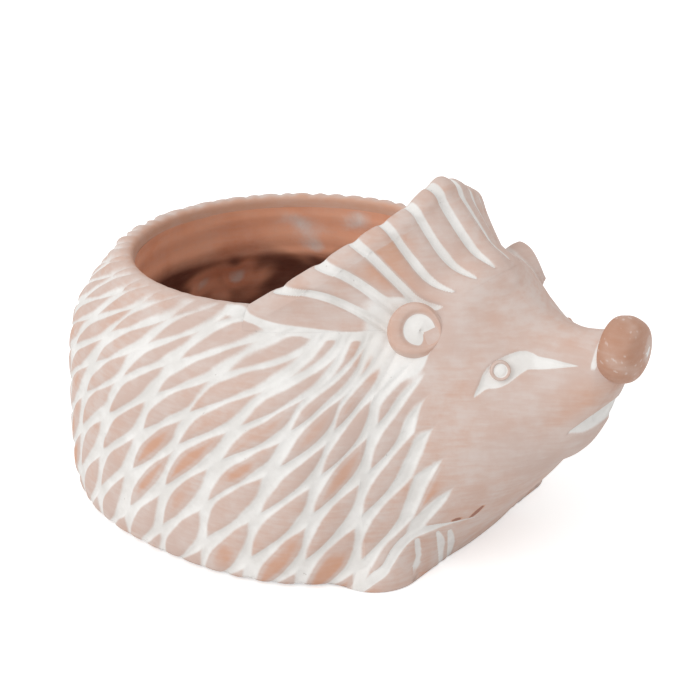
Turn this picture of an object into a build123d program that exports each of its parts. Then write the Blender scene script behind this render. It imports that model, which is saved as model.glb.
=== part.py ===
from build123d import *
import math
import os

os.makedirs("parts", exist_ok=True)

# Hedgehog planter of fired terracotta. Sizes are in millimetres.
# The animal faces +X, its left side is +Y, and Z = 0 is the table that it stands on.

# Pot wall: an oval body that draws in to a round opening
AXIS_X = -28.7
RIM_Z = 98.5
OPENING_R = 62.5
LIP = 11.0
LIP_ROUND = 5.0
NECK_DEPTH = 26.0
HOLLOW_R = 70.0
HOLLOW_Z = 46.0
FLOOR_R = 58.0
FLOOR = 10.0
BODY_X = -24.0
FOOT_HALF_WIDTH = 84.0
FOOT_REAR = 94.0
FOOT_FRONT = 81.0
BELLY_Z = 16.0
BELLY_HALF_WIDTH = 87.0
BELLY_REAR = 96.0
BELLY_FRONT = 83.0
GIRTH_Z = 46.0
GIRTH_HALF_WIDTH = 87.5
GIRTH_REAR = 93.5
GIRTH_FRONT = 86.5
SHOULDER_DROP = 22.5
SHOULDER_HALF_WIDTH = 84.5
SHOULDER_REAR = 88.0
SHOULDER_FRONT = 81.0
REAR_POWER = 2.25
FRONT_POWER = 2.5

# Floor slab: a disc let into the foot of the wall
SLAB_R = 64.0
DRAIN_R = 6.0

# Flat seats: the head stands against the wall at one x, and the crest lies on the cut rim and brow
FACE_X = 47.0
SEAT_DROP = 6.0
ROOT_REACH = 19.0
ROOT_RISE = 9.5
SEAT_Z = RIM_Z - SEAT_DROP

# Head: upright sections along X from the face plane, each given as (share of the head's length,
# top above the rim, bottom below the rim, half width, drop from the rim to the widest place)
HEAD_LENGTH = 60.0
HEAD_SECTIONS = [
    (0.0, 10.5, 112.5, 59.5, 55.5),
    (0.117, 13.5, 106.5, 54.0, 55.5),
    (0.233, 13.5, 97.0, 48.5, 53.5),
    (0.417, 4.0, 82.5, 40.0, 47.5),
    (0.6, -3.5, 69.0, 30.5, 40.5),
    (0.767, -5.5, 56.0, 21.5, 32.5),
    (0.9, -4.5, 49.0, 15.5, 26.5),
    (1.0, -3.0, 37.5, 11.5, 20.5),
]
SNOUT_X = FACE_X + HEAD_LENGTH
CROWN_POWER = 1.8
CHEEK_POWER = 2.6

# Quill crest: a fluted fan round the front of the opening
CREST_RISE = 38.5
CREST_HALF_ANGLE = 67.0
CREST_END_ANGLE = 64.5
CREST_FALL_POWER = 1.3
CREST_THICK = 9.0
CREST_ROUND = 3.6
CREST_FRONT_R = 109.0
CREST_SPREAD_POWER = 2.6
CREST_STEPS_A_SIDE = 8
FLUTE_LEAN = 0.75
FLUTE_PITCH = 9.3
FLUTE_R = 3.0
FLUTE_DEPTH = 1.6
FLUTES_A_SIDE = 6

# Ears: dished rings
EAR_AHEAD = 3.0
EAR_SIDE = 36.0
EAR_DROP = 5.5
EAR_POINT = (FACE_X + EAR_AHEAD, EAR_SIDE, RIM_Z - EAR_DROP)
EAR_AXIS = (0.42, 0.72, 0.55)
EAR_R = 9.8
EAR_LIP = 2.0
EAR_DISH_R = 5.6
EAR_DISH_DEPTH = 3.4
EAR_PROUD = 5.0
EAR_TENON = 7.0

# Eyes: ringed beads
EYE_SHARE = 0.54
EYE_SIDE = 26.0
EYE_DROP = 16.4
EYE_POINT = (FACE_X + EYE_SHARE * HEAD_LENGTH, EYE_SIDE, RIM_Z - EYE_DROP)
EYE_AXIS = (0.60, 0.74, 0.30)
EYE_R = 2.7
EYE_EDGE = 0.4
EYE_DIMPLE_R = 1.4
EYE_DIMPLE_DEPTH = 0.5
EYE_PROUD = 1.0
EYE_TENON = 3.0

# Nose: a domed round pad on the flat end of the snout
NOSE_DROP = 10.0
NOSE_R = 13.0
NOSE_BACK_R = 11.0
NOSE_WIDE_X = 4.0
NOSE_DEPTH = 13.0

# Lower jaw, parted from the snout by the mouth
JAW_LENGTH = 13.5
MOUTH_DROP = 32.5
MOUTH_Z = RIM_Z - MOUTH_DROP
MOUTH_SLOPE = 46.0
MOUTH_SHARE = 0.8
MOUTH_GAP = 2.0
MOUTH_DEPTH = 3.5
MOUTH_CORE = 9.0

# Front paws: rounded pads across the front, flat at the back, with toes cut into them
PAW_X = 41.0
PAW_Y = 38.5
PAW_Z = 1.0
PAW_R = 17.7
PAW_SPAN = 11.0
PAW_BACK = 7.0
TOE_CUTS = 3
TOE_CUT = 2.2
TOE_CUT_DEPTH = 1.2
TOE_START = 8.5
TOE_PITCH = 9.5
TOE_SHIFT = 6.5

RING_POINTS = 16
BIG = 400.0
UP = (Align.CENTER, Align.CENTER, Align.MIN)
AHEAD = (Align.MIN, Align.CENTER, Align.CENTER)


def power_point(angle, power):
    """Point of the unit curve |u|^power + |v|^power = 1 at an angle in degrees."""
    c = math.cos(math.radians(angle))
    s = math.sin(math.radians(angle))
    u = math.copysign(abs(c) ** (2.0 / power), c)
    v = math.copysign(abs(s) ** (2.0 / power), s)
    return u, v


def oval_face(z, half_width, rear, front):
    """Level oval with a rear half and a front half of their own reach and bluntness."""
    points = []
    for i in range(RING_POINTS):
        angle = 360.0 * i / RING_POINTS
        ahead = math.cos(math.radians(angle)) > 0.0
        u, v = power_point(angle, FRONT_POWER if ahead else REAR_POWER)
        reach = front if ahead else rear
        points.append((BODY_X + reach * u, half_width * v, z))
    return make_face(Spline(*points, periodic=True))


def rim_face(z, radius):
    """Level circle about the opening's axis, with the same number of points as an oval."""
    points = []
    for i in range(RING_POINTS):
        a = math.radians(360.0 * i / RING_POINTS)
        points.append((AXIS_X + radius * math.cos(a), radius * math.sin(a), z))
    return make_face(Spline(*points, periodic=True))


def head_face(share, above_rim, below_rim, half_width, drop):
    """Upright section of the head: drawn up over the crown, fuller below the cheeks."""
    x = FACE_X + share * HEAD_LENGTH
    widest = RIM_Z - drop
    points = []
    for i in range(RING_POINTS):
        angle = 360.0 * i / RING_POINTS
        above = math.cos(math.radians(angle)) > 0.0
        v, u = power_point(angle, CROWN_POWER if above else CHEEK_POWER)
        reach = drop + above_rim if above else below_rim - drop
        points.append((x, half_width * u, widest + reach * v))
    return make_face(Spline(*points, periodic=True))


def pot_outside():
    """The wall's outer form, closed over the opening."""
    rim_r = OPENING_R + LIP
    return loft([
        oval_face(0.0, FOOT_HALF_WIDTH, FOOT_REAR, FOOT_FRONT),
        oval_face(BELLY_Z, BELLY_HALF_WIDTH, BELLY_REAR, BELLY_FRONT),
        oval_face(GIRTH_Z, GIRTH_HALF_WIDTH, GIRTH_REAR, GIRTH_FRONT),
        oval_face(RIM_Z - SHOULDER_DROP, SHOULDER_HALF_WIDTH, SHOULDER_REAR, SHOULDER_FRONT),
        rim_face(RIM_Z - LIP_ROUND, rim_r),
        rim_face(RIM_Z, rim_r - LIP_ROUND),
    ])


def pot_hollow():
    """The space inside the wall, turned about the opening's axis, up past the rim."""
    neck_z = RIM_Z - NECK_DEPTH
    crown_r = OPENING_R + LIP_ROUND
    with BuildSketch(Plane.XZ) as half:
        with BuildLine():
            floor = Line((0, FLOOR), (FLOOR_R, FLOOR))
            bulge = Spline(floor @ 1, (HOLLOW_R, HOLLOW_Z), (OPENING_R, neck_z),
                           tangents=((1, 0.3), (-0.5, 1)))
            Line(bulge @ 1, (OPENING_R, RIM_Z - LIP_ROUND))
            lip = CenterArc((crown_r, RIM_Z - LIP_ROUND), LIP_ROUND, 180, -90)
            way_out = Polyline(lip @ 1, (crown_r, RIM_Z + LIP), (0, RIM_Z + LIP))
            Line(way_out @ 1, floor @ 0)
        make_face()
    return Pos(AXIS_X, 0, 0) * revolve(half.sketch, axis=Axis.Z)


def side_prism(points):
    """Solid right across the animal from an outline in its side view."""
    with BuildSketch(Plane.XZ) as outline:
        with BuildLine():
            Polyline(*points, close=True)
        make_face()
    return extrude(outline.sketch, BIG, both=True)


def under_crest():
    """Everything below the crest's seat: level over the rim, then rising along the brow."""
    slope = (SEAT_DROP + ROOT_RISE) / ROOT_REACH
    far_z = SEAT_Z + slope * (BIG - FACE_X)
    return side_prism([(-BIG, SEAT_Z), (FACE_X, SEAT_Z), (BIG, far_z), (BIG, -BIG), (-BIG, -BIG)])


def crest_notch():
    """Sector of the rim that the crest takes the place of."""
    a = math.radians(CREST_END_ANGLE)
    x = BIG * math.cos(a)
    y = BIG * math.sin(a)
    with BuildSketch(Plane.XY.offset(SEAT_Z)) as sector:
        with BuildLine():
            Polyline((0, 0), (x, -y), (BIG, -y), (BIG, y), (x, y), close=True)
        make_face()
    return Pos(AXIS_X, 0, 0) * extrude(sector.sketch, BIG)


def crest_line(angle):
    """Edge height of the fan and reach of its slope at the seat, at one angle round the opening."""
    fall = CREST_RISE * (abs(angle) / CREST_HALF_ANGLE) ** CREST_FALL_POWER
    edge_z = RIM_Z + CREST_RISE - fall
    share = 1.0 - abs(angle) / CREST_END_ANGLE
    rim_r = OPENING_R + LIP
    foot_r = rim_r + (CREST_FRONT_R - rim_r) * share ** CREST_SPREAD_POWER
    return edge_z, foot_r


def crest_section(angle):
    """Upright section of the fan: inner wall, rounded edge, and slope to the seat."""
    edge_z, foot_r = crest_line(angle)
    low = SEAT_Z - LIP
    side_z = edge_z - CREST_ROUND
    middle_r = OPENING_R + 0.5 * CREST_THICK
    outer_r = OPENING_R + CREST_THICK
    with BuildSketch(Plane.XZ) as section:
        with BuildLine():
            inside = Line((OPENING_R, low), (OPENING_R, side_z))
            edge = ThreePointArc(inside @ 1, (middle_r, edge_z), (outer_r, side_z))
            slope = Polyline(edge @ 1, (foot_r, SEAT_Z), (foot_r, low))
            Line(slope @ 1, inside @ 0)
        make_face()
    return (Pos(AXIS_X, 0, 0) * Rot(0, 0, angle) * section.sketch).face()


def flute(angle):
    """Round groove cut down the fan's slope, leaning towards the brow."""
    edge_z, _ = crest_line(angle)
    lean = angle * FLUTE_LEAN
    _, foot_r = crest_line(lean)
    a = math.radians(angle)
    b = math.radians(lean)
    edge_r = OPENING_R + CREST_THICK
    start = Vector(AXIS_X + edge_r * math.cos(a), edge_r * math.sin(a), edge_z - CREST_ROUND)
    end = Vector(AXIS_X + foot_r * math.cos(b), foot_r * math.sin(b), SEAT_Z)
    slope = (end - start).normalized()
    out = slope.cross(Vector(-math.sin(a), math.cos(a), 0)).normalized()
    begin = start - slope * CREST_THICK + out * (FLUTE_R - FLUTE_DEPTH)
    length = (end - start).length + 2.0 * CREST_THICK
    return Plane(origin=begin, z_dir=slope) * Cylinder(FLUTE_R, length, align=UP)


def ear():
    """Left ear: a ring with a round lip and a dished middle, on a tenon."""
    ring_r = 0.5 * (EAR_R + EAR_DISH_R)
    lip_z = EAR_PROUD - EAR_LIP
    with BuildSketch(Plane.XZ) as half:
        with BuildLine():
            tenon = Polyline((0, -EAR_TENON), (EAR_R, -EAR_TENON), (EAR_R, lip_z))
            lip = Spline(tenon @ 1, (ring_r, EAR_PROUD), (EAR_DISH_R, lip_z), tangents=((0, 1), (-0.7, -1)))
            dish = Spline(lip @ 1, (0, EAR_PROUD - EAR_DISH_DEPTH), tangents=((-0.7, -1), (-1, 0)))
            Line(dish @ 1, tenon @ 0)
        make_face()
    return Plane(origin=EAR_POINT, z_dir=EAR_AXIS) * revolve(half.sketch, axis=Axis.Z)


def eye():
    """Left eye: a bead with a dimple, on a tenon."""
    ring_r = 0.5 * (EYE_R + EYE_DIMPLE_R)
    dimple_z = EYE_PROUD - EYE_DIMPLE_DEPTH
    with BuildSketch(Plane.XZ) as half:
        with BuildLine():
            tenon = Polyline((0, -EYE_TENON), (EYE_R, -EYE_TENON), (EYE_R, EYE_EDGE))
            bead = Spline(tenon @ 1, (ring_r, EYE_PROUD), (0, dimple_z), tangents=((0, 1), (-1, 0)))
            Line(bead @ 1, tenon @ 0)
        make_face()
    return Plane(origin=EYE_POINT, z_dir=EYE_AXIS) * revolve(half.sketch, axis=Axis.Z)


def nose():
    """Round pad with a flat back, a soft edge and a domed front."""
    with BuildSketch(Plane.XZ) as half:
        with BuildLine():
            back = Line((0, 0), (NOSE_BACK_R, 0))
            dome = Spline(back @ 1, (NOSE_R, NOSE_WIDE_X), (0, NOSE_DEPTH), tangents=((1, 1), (-1, 0)))
            Line(dome @ 1, back @ 0)
        make_face()
    return Plane(origin=(SNOUT_X, 0, RIM_Z - NOSE_DROP), z_dir=(1, 0, 0)) * revolve(half.sketch, axis=Axis.Z)


def jaw_block():
    """Everything below the mouth and ahead of the throat."""
    fall = math.tan(math.radians(MOUTH_SLOPE))
    back_x = SNOUT_X - JAW_LENGTH
    back_z = MOUTH_Z - fall * JAW_LENGTH
    front_z = MOUTH_Z + fall * (BIG - SNOUT_X)
    return side_prism([(back_x, back_z), (BIG, front_z), (BIG, -BIG), (back_x, -BIG)])


def mouth_slot():
    """Shallow slit that runs round the snout just above the jaw."""
    rise = math.radians(MOUTH_SLOPE)
    along = (math.cos(rise), 0, math.sin(rise))
    above = (-math.sin(rise), 0, math.cos(rise))
    mouth = Plane(origin=(SNOUT_X, 0, MOUTH_Z), x_dir=along, z_dir=above)
    length = JAW_LENGTH / math.cos(rise)
    plate = mouth * Box(2.0 * MOUTH_SHARE * length, BIG, MOUTH_GAP, align=UP)
    core = mouth * Pos(-MOUTH_DEPTH - 0.5 * BIG, 0, 0) * Box(BIG, 2.0 * MOUTH_CORE, MOUTH_GAP, align=UP)
    return plate - core


def paw_pad(radius):
    """Left paw's pad: a bar with round ends, lying across the animal and cut flat behind."""
    half = 0.5 * PAW_SPAN
    with BuildSketch(Plane.XZ) as outline:
        with BuildLine():
            inner_end = CenterArc((0, -half), radius, 270, 90)
            Line(inner_end @ 1, (radius, half))
            outer_end = CenterArc((0, half), radius, 0, 90)
            Line(outer_end @ 1, inner_end @ 0)
        make_face()
    bar = Rot(90, 0, 0) * revolve(outline.sketch, axis=Axis.Z)
    ahead = Pos(-PAW_BACK, 0, 0) * Box(BIG, BIG, BIG, align=AHEAD)
    return Pos(PAW_X, PAW_Y, PAW_Z) * (bar & ahead)


def paw():
    """Left paw: a pad on the table with shallow cuts between its toes."""
    foot = paw_pad(PAW_R)
    core = paw_pad(PAW_R - TOE_CUT_DEPTH)
    blade = Pos(PAW_X + TOE_START, 0, 0) * Box(PAW_R, TOE_CUT, BIG, align=AHEAD)
    for i in range(TOE_CUTS):
        side = PAW_Y - TOE_SHIFT + TOE_PITCH * (i - 0.5 * (TOE_CUTS - 1))
        foot -= Pos(0, side, 0) * blade - core
    return foot - below_table()


def round_socket(point, axis, radius, tenon):
    """Round hole that takes a tenon set in at a point of the left side."""
    return Plane(origin=point, z_dir=axis) * Pos(0, 0, -tenon) * Cylinder(radius, BIG, align=UP)


def below_table():
    """Everything under the plane that the planter stands on."""
    return Pos(0, 0, -0.5 * BIG) * Box(BIG, BIG, BIG)


def mirrored(solid):
    """The same shape on the animal's right side."""
    return mirror(solid, about=Plane.XZ)


left_ear = ear()
right_ear = mirrored(left_ear)
left_eye = eye()
right_eye = mirrored(left_eye)
left_paw = paw()
right_paw = mirrored(left_paw)
nose_pad = nose()
ear_socket = round_socket(EAR_POINT, EAR_AXIS, EAR_R, EAR_TENON)
eye_socket = round_socket(EYE_POINT, EYE_AXIS, EYE_R, EYE_TENON)
ear_sockets = [ear_socket, mirrored(ear_socket)]
paw_sockets = [paw_pad(PAW_R), mirrored(paw_pad(PAW_R))]
eye_sockets = [eye_socket, mirrored(eye_socket)]

slab = Pos(AXIS_X, 0, 0) * Cylinder(SLAB_R, FLOOR, align=UP)
base_slab = slab - Pos(AXIS_X, 0, 0) * Cylinder(DRAIN_R, BIG)

ahead_of_face = Pos(FACE_X, 0, 0) * Box(BIG, BIG, BIG, align=AHEAD)
pot_wall = pot_outside() - pot_hollow() - slab - ahead_of_face - crest_notch()
for socket in ear_sockets + paw_sockets:
    pot_wall = pot_wall - socket

crest_steps = range(-CREST_STEPS_A_SIDE, CREST_STEPS_A_SIDE + 1)
crest_sections = [crest_section(CREST_END_ANGLE * k / CREST_STEPS_A_SIDE) for k in crest_steps]
quill_crest = loft(crest_sections) - under_crest()
for socket in ear_sockets:
    quill_crest = quill_crest - socket
for k in range(-FLUTES_A_SIDE, FLUTES_A_SIDE + 1):
    quill_crest = quill_crest - flute(FLUTE_PITCH * k)

whole_head = loft([head_face(*section) for section in HEAD_SECTIONS]) - below_table()
whole_head = whole_head & under_crest()
lower_jaw = whole_head & jaw_block()
head = whole_head - jaw_block() - mouth_slot()
for socket in ear_sockets + paw_sockets + eye_sockets:
    head = head - socket

nodes = {
    "pot_wall": pot_wall,
    "base_slab": base_slab,
    "head": head,
    "quill_crest": quill_crest,
    "right_ear": right_ear,
    "left_ear": left_ear,
    "right_eye": right_eye,
    "left_eye": left_eye,
    "nose_pad": nose_pad,
    "lower_jaw": lower_jaw,
    "right_front_paw": right_paw,
    "left_front_paw": left_paw,
}
for name, solid in nodes.items():
    export_step(solid, f"parts/{name}.step")
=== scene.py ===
"""Hedgehog planter of fired terracotta with a white slip wash rubbed back.

Shapes are worked out in millimetres in the part's own frame: the animal faces +X, its left side is +Y
and Z = 0 is the table. The outside is one soft union of pot wall, head, front paws and quill fan, and the
larger pieces are grids of points on it, so neighbours meet on the same surface. Each point carries a number
called slip: 1 is white slip, 0 is washed clay, less than 0 is clay rubbed bare (inside the pot it is painted
shade), and less than -1.2 is a chip.
"""
import math

import bmesh
import bpy
import numpy as np
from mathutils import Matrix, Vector


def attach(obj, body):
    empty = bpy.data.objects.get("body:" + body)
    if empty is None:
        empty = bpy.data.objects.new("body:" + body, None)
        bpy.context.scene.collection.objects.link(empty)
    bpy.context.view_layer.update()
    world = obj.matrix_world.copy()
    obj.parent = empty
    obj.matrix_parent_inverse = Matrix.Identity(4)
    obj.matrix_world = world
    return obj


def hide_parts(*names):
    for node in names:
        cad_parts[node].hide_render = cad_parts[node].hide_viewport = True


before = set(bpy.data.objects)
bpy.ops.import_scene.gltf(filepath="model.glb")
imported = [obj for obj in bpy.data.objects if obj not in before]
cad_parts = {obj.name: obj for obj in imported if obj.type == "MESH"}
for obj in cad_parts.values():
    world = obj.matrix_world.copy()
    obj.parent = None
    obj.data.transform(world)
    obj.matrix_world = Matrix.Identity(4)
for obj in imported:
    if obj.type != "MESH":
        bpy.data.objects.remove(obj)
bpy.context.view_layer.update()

MM = 0.001
LEFT = np.array([0.0, 1.0, 0.0])
UP = np.array([0.0, 0.0, 1.0])

# Pot wall: level ovals, each with its height, centre, half width, reach behind and ahead, and the power of
# its curve behind and ahead
AXIS_X = -28.7
RIM_Z = 98.5
OPENING_R = 62.5
LIP = 11.0
WALL_Z = [0.0, 8.0, 16.0, 30.0, 46.0, 62.0, 70.0, 76.0, 84.0, 93.5, 98.5]
WALL_CENTRE = [-24.0, -24.0, -24.0, -24.0, -24.0, -23.7, -24.0, -24.6, -26.6, -28.7, -28.7]
WALL_HALF = [84.0, 86.1, 87.0, 87.3, 87.4, 87.0, 85.9, 84.5, 80.8, 73.5, 68.5]
WALL_REAR = [94.0, 95.5, 95.9, 95.3, 93.5, 91.5, 89.7, 87.5, 82.1, 73.5, 68.5]
WALL_FRONT = [81.0, 82.4, 83.0, 84.6, 86.5, 84.3, 82.3, 81.0, 79.0, 73.5, 68.5]
WALL_REAR_POWER = [2.25, 2.25, 2.25, 2.25, 2.25, 2.29, 2.28, 2.25, 2.13, 2.0, 2.0]
WALL_FRONT_POWER = [2.5, 2.5, 2.5, 2.5, 2.5, 2.57, 2.57, 2.5, 2.25, 2.0, 2.0]
FOOT_ROUND = 3.0
SLAB_R = 64.0

# Hollow: radius of the inside of the pot at each height, floor to neck
HOLLOW_Z = [10.0, 12.0, 14.0, 17.0, 20.0, 25.0, 32.0, 46.0, 54.0, 60.0, 66.0, 70.0, 72.5, 76.0, 93.5]
HOLLOW_R = [58.0, 62.5, 65.1, 67.6, 69.2, 70.6, 71.2, 70.0, 68.7, 67.3, 65.3, 63.7, 62.5, 62.5, 62.5]
NECK_TOP = 93.5
NECK_FOOT = 72.5
HOLLOW_FLOOR = 10.0

# Slip smudged on the inside: degrees round, height and size of each mark
SMUDGES = [(127.0, 86.0, 11.0), (103.0, 88.0, 10.0), (122.0, 75.5, 9.0), (151.0, 61.5, 13.0),
           (166.0, 62.0, 9.0), (-110.0, 82.0, 11.0), (-20.0, 70.0, 12.0)]

# Head: upright sections along X, each with its top, bottom, half width and widest height
FACE_X = 47.0
HEAD_X = [47.0, 54.0, 61.0, 72.0, 83.0, 93.0, 101.0, 107.0]
HEAD_TOP = [109.0, 112.0, 112.0, 102.5, 95.0, 93.0, 94.0, 95.5]
HEAD_BOTTOM = [-14.0, -8.0, 1.5, 16.0, 29.5, 42.5, 49.5, 61.0]
HEAD_HALF = [59.5, 54.0, 48.5, 40.0, 30.5, 21.5, 15.5, 11.5]
HEAD_WIDEST = [43.0, 43.0, 45.0, 51.0, 58.0, 66.0, 72.0, 78.0]
CROWN_POWER = 1.8
CHEEK_POWER = 2.6

# Nose and mouth
NOSE = (107.0, 0.0, 89.3)
NOSE_R = 11.6
NOSE_DEPTH = 12.8
MOUTH = (107.0, 66.0)
MOUTH_SLOPE = math.radians(46.0)
MOUTH_END = 100.0
MOUTH_WIDE = 3.6

# Quill fan round the front of the opening and the seat that it lies on, with the height of its foot over
# the seat by angle, and the count of grooves from the middle by angle
FAN_END = 66.0
FAN_RISE = 38.3
FAN_ROUND = 5.5
FAN_FOOT_R = 109.0
FOOT_TURN = [20.0, 33.3, 38.2, 43.2, 47.8, 52.9, 58.2, 62.8, 66.7, 71.1]
FOOT_LIFT = [0.0, -1.5, -1.5, -1.1, -0.5, 0.4, 1.4, 3.0, 4.4, 5.0]
FLUTE_TURN = [0.0, 5.0, 14.2, 23.9, 33.5, 43.7, 56.0, 65.0]
FLUTE_COUNT = [-0.5, 0.0, 1.0, 2.0, 3.0, 4.0, 5.0, 5.5]
GROOVE_HALF = 1.75
DRAWN_IN = 0.54
SEAT_Z = 92.5
ROOT_X = 66.0
ROOT_Z = 108.0

# Quill pattern on the wall: columns and leaves, and how far forward a quill has leaned by each height, in
# degrees. It leans less beside the face and is combed further forward behind the ear.
QUILL_PITCH = 6.3
QUILL_LENGTH = 46.0
QUILL_WIDE = 0.56
STRIP_HALF = 0.27
LEAF_TAPER = 2.25
LEAF_POWER = 1.7
FIRST_COLUMN = 0.22
FIRST_LEAF = 0.13
BELLY_R = 86.0
SWEEP_Z = [0.0, 30.0, 50.0, 65.0, 80.0, 90.0, 96.0, 104.0]
SWEEP = [0.0, 13.8, 25.2, 35.4, 48.0, 58.5, 65.5, 76.0]
FACE_LEAN = 0.60
COMBED_LEAN = 14.0
COMBED_TURN = 42.0

# Depth of each kind of carving, and of the worked surface all over
QUILL_CUT = 0.72
QUILL_CROWN = 0.28
GROOVE_CUT = 1.1
LOBE_CUT = 0.9
EYE_CUT = 0.9
MOUTH_CUT = 0.9
PAW_LINE_CUT = 0.6
FINISH_DEPTH = 0.12
FINISH_WAVER = 0.09
FINISH_LENGTH = 34.0

# Widths over which the clay parts are smoothed together, and how far the paws stand over the form
HEAD_JOINT = 7.0
PAW_JOINT = 7.0
FAN_JOINT = 5.0
PAW_COVER = 0.5

# Ears, eyes, paws and cut lines as they lie on the left side, and mirrored on the right. The left ear stands
# higher and fuller, and the two nicks are on the right only.
EAR = (51.0, 35.4, 93.0)
EAR_AXIS = (0.42, 0.72, 0.55)
EAR_R = 9.7
EAR_BACK = (-0.82, 0.40, -0.41)
EAR_FRONT = (0.86, -0.50, 0.0)
LEFT_EAR_LIFT = (1.0, 0.0, 2.4)
LEFT_EAR_TALL = 1.7
HALO_WIDE = 4.6
EYE = (79.4, 25.4, 81.9)
EYE_AXIS = (0.60, 0.74, 0.30)
LEFT_EYE_SUNK = 1.0
RIGHT_EYE_SUNK = 0.3
EYE_LINE = [(73.9, 33.4, 73.2), (76.0, 29.6, 77.7), (77.6, 27.2, 79.5), (79.4, 24.7, 81.2),
            (82.2, 21.0, 83.5), (84.6, 18.4, 84.7), (88.2, 16.8, 84.2), (93.3, 14.5, 84.2),
            (101.4, 11.8, 84.6)]
EYE_HALF = [0.1, 2.0, 3.6, 4.5, 4.1, 3.5, 2.3, 1.5, 0.1]
NICK = [(69.1, 36.2, 25.2), (69.9, 35.2, 25.4), (70.7, 34.2, 25.6)]
NICK_HALF = [0.7, 1.0, 0.7]
SECOND_NICK = [(72.2, 30.5, 24.5), (74.4, 29.5, 27.2), (76.5, 28.6, 30.0)]
SECOND_NICK_HALF = [0.6, 1.1, 0.7]
PAW_TURN = [14.0, 20.0, 24.4, 28.1, 30.8, 33.4, 36.3, 38.6]
PAW_TOP = [24.2, 23.8, 22.6, 20.2, 14.6, 9.0, 5.2, 0.5]
PAW_LINE_HALF = [0.1, 0.6, 1.7, 2.0, 1.9, 1.8, 1.6, 1.2]
TOES = [([26.6, 25.5, 26.6], [17.5, 9.5, 1.0]), ([22.6, 19.8, 17.4], [20.0, 10.6, 0.5]),
        ([19.9, 16.9, 14.5], [19.4, 9.6, 1.0])]
TOE_HALF = [0.6, 1.4, 1.0]
DEGREE_ARC = 1.6
PAW = (41.0, 38.5, 1.0)
PAW_R = 17.6
PAW_SPAN = 11.0

# Rows and columns of the grids of points
WALL_ROWS = 134
WALL_COLUMNS = 600
LIP_ROWS = 26
SOLE_ROWS = 6
HOLLOW_COLUMNS = 360
FAN_ROWS = 60
FAN_COLUMNS = 420
EDGE_ROWS = 22
NECK_ROWS = 24
BROW_ROWS = 60
SNOUT_ROWS = 64
TIP_ROWS = 26
HEAD_COLUMNS = 520
EAR_ROWS = 60
EAR_COLUMNS = 144
EYE_ROWS = 40
EYE_COLUMNS = 72
NOSE_ROWS = 70
NOSE_COLUMNS = 144
PAW_ROWS = 140
PAW_COLUMNS = 160

# Lamps: name, place in metres, width in degrees and strength, with the light of the air all round
LAMPS = [("key", (-0.35, -1.1, 0.88), 50.0, 1.02), ("fill", (1.2, -0.6, 0.7), 70.0, 0.10)]
AIR_LIGHT = 0.74
AIR_SEEN = 1.0
FLOOR_GLOW = 0.48


def through(x, knots, values):
    """Smooth curve through pairs of knot and value: cubic pieces whose slope at each knot is that of the
    parabola through the knot and its neighbours."""
    knots = np.asarray(knots, float)
    values = np.asarray(values, float)
    slopes = np.gradient(values, knots)
    x = np.clip(x, knots[0], knots[-1])
    i = np.clip(np.searchsorted(knots, x, side="right") - 1, 0, len(knots) - 2)
    h = knots[i + 1] - knots[i]
    t = (x - knots[i]) / h
    start = (1 + 2 * t) * (1 - t) ** 2 * values[i] + t * (1 - t) ** 2 * h * slopes[i]
    end = t * t * (3 - 2 * t) * values[i + 1] + t * t * (t - 1) * h * slopes[i + 1]
    return start + end


def smooth(t):
    """Eased step from 0 at t = 0 to 1 at t = 1: 3 t squared less 2 t cubed."""
    t = np.clip(t, 0.0, 1.0)
    return t * t * (3.0 - 2.0 * t)


def soft_union(a, b, width):
    """Lower of two gaps, rounded over where they are within a width of each other."""
    h = np.clip(0.5 + 0.5 * (b - a) / width, 0.0, 1.0)
    return b + (a - b) * h - width * h * (1.0 - h)


def waver(p, scale):
    """Slow irregularity of a hand-worked surface, about -1 to 1: three crossed sine waves of the place."""
    x, y, z = p[..., 0] / scale, p[..., 1] / scale, p[..., 2] / scale
    first = np.sin(1.7 * x + 2.3 * np.sin(1.1 * y + 0.4) + 1.9 * z)
    second = np.sin(2.1 * y - 1.3 * z + 1.6 * np.sin(0.9 * x + 1.7))
    third = np.sin(2.6 * z + 1.4 * np.sin(1.3 * x - 0.8 * y))
    return (first + second + third) / 2.4


def chance(n, seed):
    """A fixed number from 0 to 1 for each whole number: the fraction of a large sine."""
    big = np.sin(n * 12.9898 + seed * 78.233) * 43758.5453
    return big - np.floor(big)


def turn_of(p):
    """Angle in degrees from straight ahead, round the opening's axis, the same on both sides."""
    return np.degrees(np.arctan2(np.abs(p[..., 1]), p[..., 0] - AXIS_X))


def round_axis(radius, turn, z):
    """Points at a distance from the opening's axis, in the direction of an angle and at a height."""
    return np.stack(np.broadcast_arrays(AXIS_X + radius * np.cos(turn), radius * np.sin(turn), z), -1)


def apart(angle, other):
    """Smaller angle between two directions, in radians."""
    return np.abs(np.angle(np.exp(1j * (angle - other))))


def mirrored(p):
    """Places with those of the right side folded over to the left."""
    return p * (1.0 - LEFT) + np.abs(p) * LEFT


def hand_finish(p):
    """How far the worked surface lies inside the form: a steady depth and a slow waver."""
    return FINISH_DEPTH + FINISH_WAVER * waver(p, FINISH_LENGTH)


def seat_height(x):
    """Height of the fan's seat: level over the rim, then a straight rise along the brow."""
    return SEAT_Z + np.maximum(x - FACE_X, 0.0) * (ROOT_Z - SEAT_Z) / (ROOT_X - FACE_X)


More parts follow.
